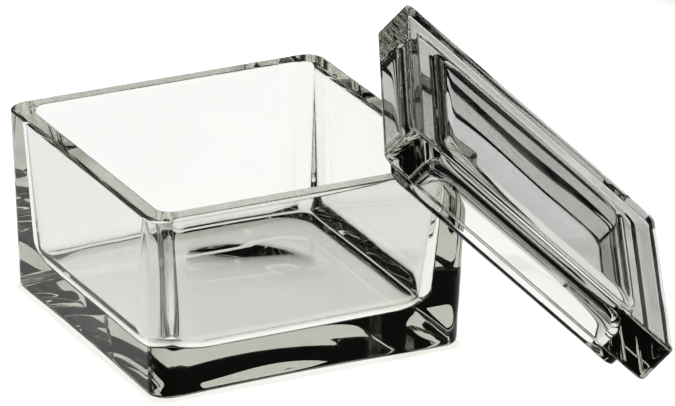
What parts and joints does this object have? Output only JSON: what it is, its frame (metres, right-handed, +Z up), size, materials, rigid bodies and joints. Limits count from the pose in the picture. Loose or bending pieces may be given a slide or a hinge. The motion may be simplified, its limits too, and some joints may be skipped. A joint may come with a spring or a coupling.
{
  "type": "dappen dish",
  "caption": "Square clear-glass dappen dish with a deep soft-cornered cavity, and its loose square glass lid leaning on one corner of the rim.",
  "frame": {"origin": "middle of the whole set's footprint, on the surface it stands on", "axes": "+X along the dish's front wall towards the side the lid leans on, +Y towards the dish's back wall, +Z up"},
  "size_m": [0.1087, 0.0881, 0.0457],
  "materials": {
    "clear_glass": "polished"
  },
  "bodies": {
    "dish": {"dish": "clear_glass"},
    "lid": {"lid": "clear_glass"}
  },
  "joints": [
    {"name": "lid_lift", "type": "slide", "parent": "dish", "child": "lid", "axis": [0, 0, 1], "range_m": [0, 0.05]}
  ]
}
